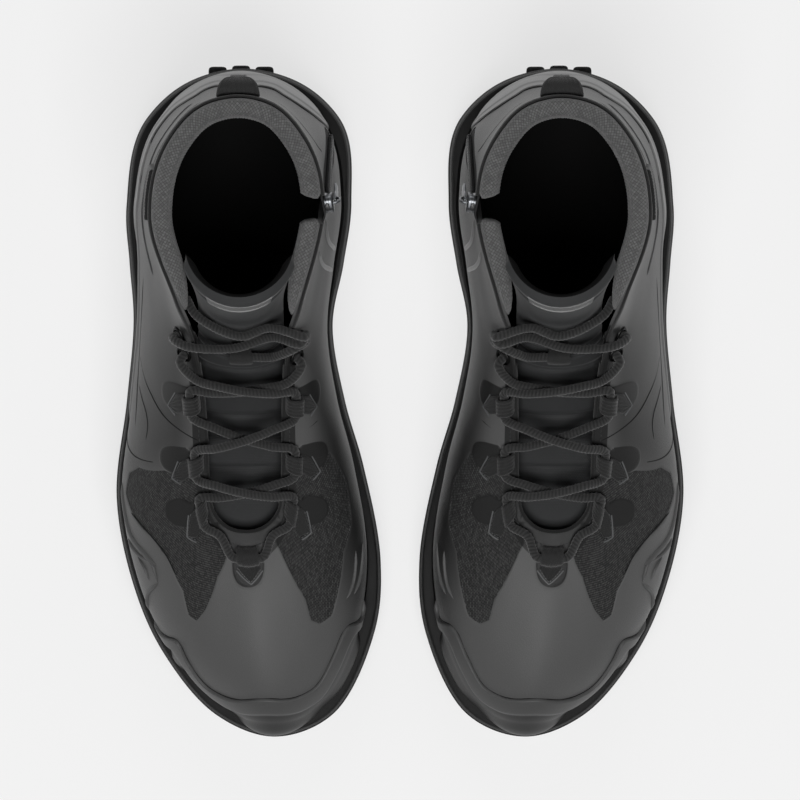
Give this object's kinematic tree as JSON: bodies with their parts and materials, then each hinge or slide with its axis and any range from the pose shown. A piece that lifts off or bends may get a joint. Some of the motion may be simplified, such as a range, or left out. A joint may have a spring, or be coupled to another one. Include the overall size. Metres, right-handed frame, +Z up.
{
  "type": "pair of hiking boots",
  "caption": "Pair of mid-cut hiking boots with cord laces through webbing loops, a zip on the inner ankle, padded knit collar and lugged sole.",
  "frame": {"origin": "centre of the pair's footprint, on the ground between the two boots", "axes": "+Z up; toes towards -Y and heels towards +Y; the wearer's left boot on the +X side and the right boot on the -X side"},
  "size_m": [0.2566, 0.305, 0.161],
  "materials": {
    "tread_rubber": "matt black moulded rubber, fine pitted skin",
    "foam": "dark moulded foam with a smooth satin skin",
    "spring_steel": "bare spring steel strip",
    "fibre_board": "pressed fibre board",
    "lining_fabric": "black brushed lining fabric",
    "moulded_cap": "satin dark grey moulded polyurethane",
    "knit_upper": "dark grey ripstop mesh and smooth bonded film",
    "film_upper": "dark grey bonded film over textile, satin",
    "collar_knit": "dark grey coarse knit over foam",
    "tongue_fabric": "dark woven fabric with a smooth bonded top",
    "badge": "plain moulded badge, satin",
    "webbing": "black woven webbing",
    "lace_cord": "black and grey round braided lace",
    "zip_tape": "black woven zip tape with moulded coil",
    "zip_metal": "dark nickel plated zinc"
  },
  "bodies": {
    "right_boot": {"right_outsole": "tread_rubber", "right_midsole": "foam", "right_shank": "spring_steel", "right_insole_board": "fibre_board", "right_toe_cap": "moulded_cap", "right_vamp": "knit_upper", "right_outer_quarter": "film_upper", "right_inner_quarter": "film_upper", "right_heel_quarter": "film_upper", "right_heel_cup": "moulded_cap", "right_collar_pad": "collar_knit", "right_inner_collar_pad": "collar_knit", "right_tongue": "tongue_fabric", "right_tongue_label": "badge", "right_lace_keeper": "webbing", "right_lace": "lace_cord", "right_toe_loop": "webbing", "right_outer_loop_1": "webbing", "right_inner_loop_1": "webbing", "right_outer_loop_2": "webbing", "right_inner_loop_2": "webbing", "right_outer_loop_3": "webbing", "right_inner_loop_3": "webbing", "right_pull_tab": "webbing", "right_side_tab": "webbing", "right_zip_chain": "zip_tape"},
    "right_footbed_body": {"right_footbed": "lining_fabric"},
    "right_slider_body": {"right_zip_slider": "zip_metal"},
    "right_pull_body": {"right_zip_pull": "zip_metal"},
    "left_boot": {"left_outsole": "tread_rubber", "left_midsole": "foam", "left_shank": "spring_steel", "left_insole_board": "fibre_board", "left_toe_cap": "moulded_cap", "left_vamp": "knit_upper", "left_outer_quarter": "film_upper", "left_inner_quarter": "film_upper", "left_heel_quarter": "film_upper", "left_heel_cup": "moulded_cap", "left_collar_pad": "collar_knit", "left_inner_collar_pad": "collar_knit", "left_tongue": "tongue_fabric", "left_tongue_label": "badge", "left_lace_keeper": "webbing", "left_lace": "lace_cord", "left_toe_loop": "webbing", "left_outer_loop_1": "webbing", "left_inner_loop_1": "webbing", "left_outer_loop_2": "webbing", "left_inner_loop_2": "webbing", "left_outer_loop_3": "webbing", "left_inner_loop_3": "webbing", "left_pull_tab": "webbing", "left_side_tab": "webbing", "left_zip_chain": "zip_tape"},
    "left_footbed_body": {"left_footbed": "lining_fabric"},
    "left_slider_body": {"left_zip_slider": "zip_metal"},
    "left_pull_body": {"left_zip_pull": "zip_metal"}
  },
  "joints": [
    {"name": "boots_apart", "type": "slide", "parent": "right_boot", "child": "left_boot", "axis": [1, 0, 0], "range_m": [0, 0.15]},
    {"name": "right_footbed_lift", "type": "slide", "parent": "right_boot", "child": "right_footbed_body", "axis": [0, 0, 1], "range_m": [0, 0.006]},
    {"name": "right_zip", "type": "slide", "parent": "right_boot", "child": "right_slider_body", "axis": [0.0206, 0.3702, -0.9287], "range_m": [0, 0.072]},
    {"name": "right_zip_pull", "type": "hinge", "parent": "right_slider_body", "child": "right_pull_body", "pos_m": [-0.02887, 0.0892, 0.1413], "axis": [0.1831, -0.9146, -0.3605], "range_deg": [0, 150]},
    {"name": "left_footbed_lift", "type": "slide", "parent": "left_boot", "child": "left_footbed_body", "axis": [0, 0, 1], "range_m": [0, 0.006]},
    {"name": "left_zip", "type": "slide", "parent": "left_boot", "child": "left_slider_body", "axis": [-0.0206, 0.3702, -0.9287], "range_m": [0, 0.072]},
    {"name": "left_zip_pull", "type": "hinge", "parent": "left_slider_body", "child": "left_pull_body", "pos_m": [0.02887, 0.0892, 0.1413], "axis": [0.1831, 0.9146, 0.3605], "range_deg": [0, 150]}
  ]
}
